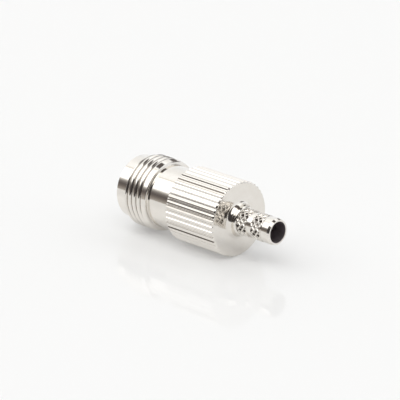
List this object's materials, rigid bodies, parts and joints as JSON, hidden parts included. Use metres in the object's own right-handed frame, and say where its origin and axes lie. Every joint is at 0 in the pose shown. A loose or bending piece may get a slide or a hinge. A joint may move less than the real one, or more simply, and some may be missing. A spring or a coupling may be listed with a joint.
{
  "type": "coaxial cable jack",
  "caption": "Nickel-plated threaded coaxial jack with a straight-knurled grip, an insulated socket contact and a diamond-knurled crimp stem for a thin coaxial cable.",
  "frame": {"origin": "centre of the mating face, on which the part stands", "axes": "+Z along the axis, from the mating face towards the cable stem; +X through the middle of a groove of the grip"},
  "size_m": [0.0114, 0.0114, 0.0285],
  "materials": {
    "nickel_plate": "bright nickel plate on turned brass",
    "white_insulator": "turned white fluoropolymer",
    "gold_plate": "bright gold plate"
  },
  "bodies": {
    "root": {"connector_body": "nickel_plate", "insulator": "white_insulator", "centre_contact": "gold_plate"}
  },
  "joints": []
}
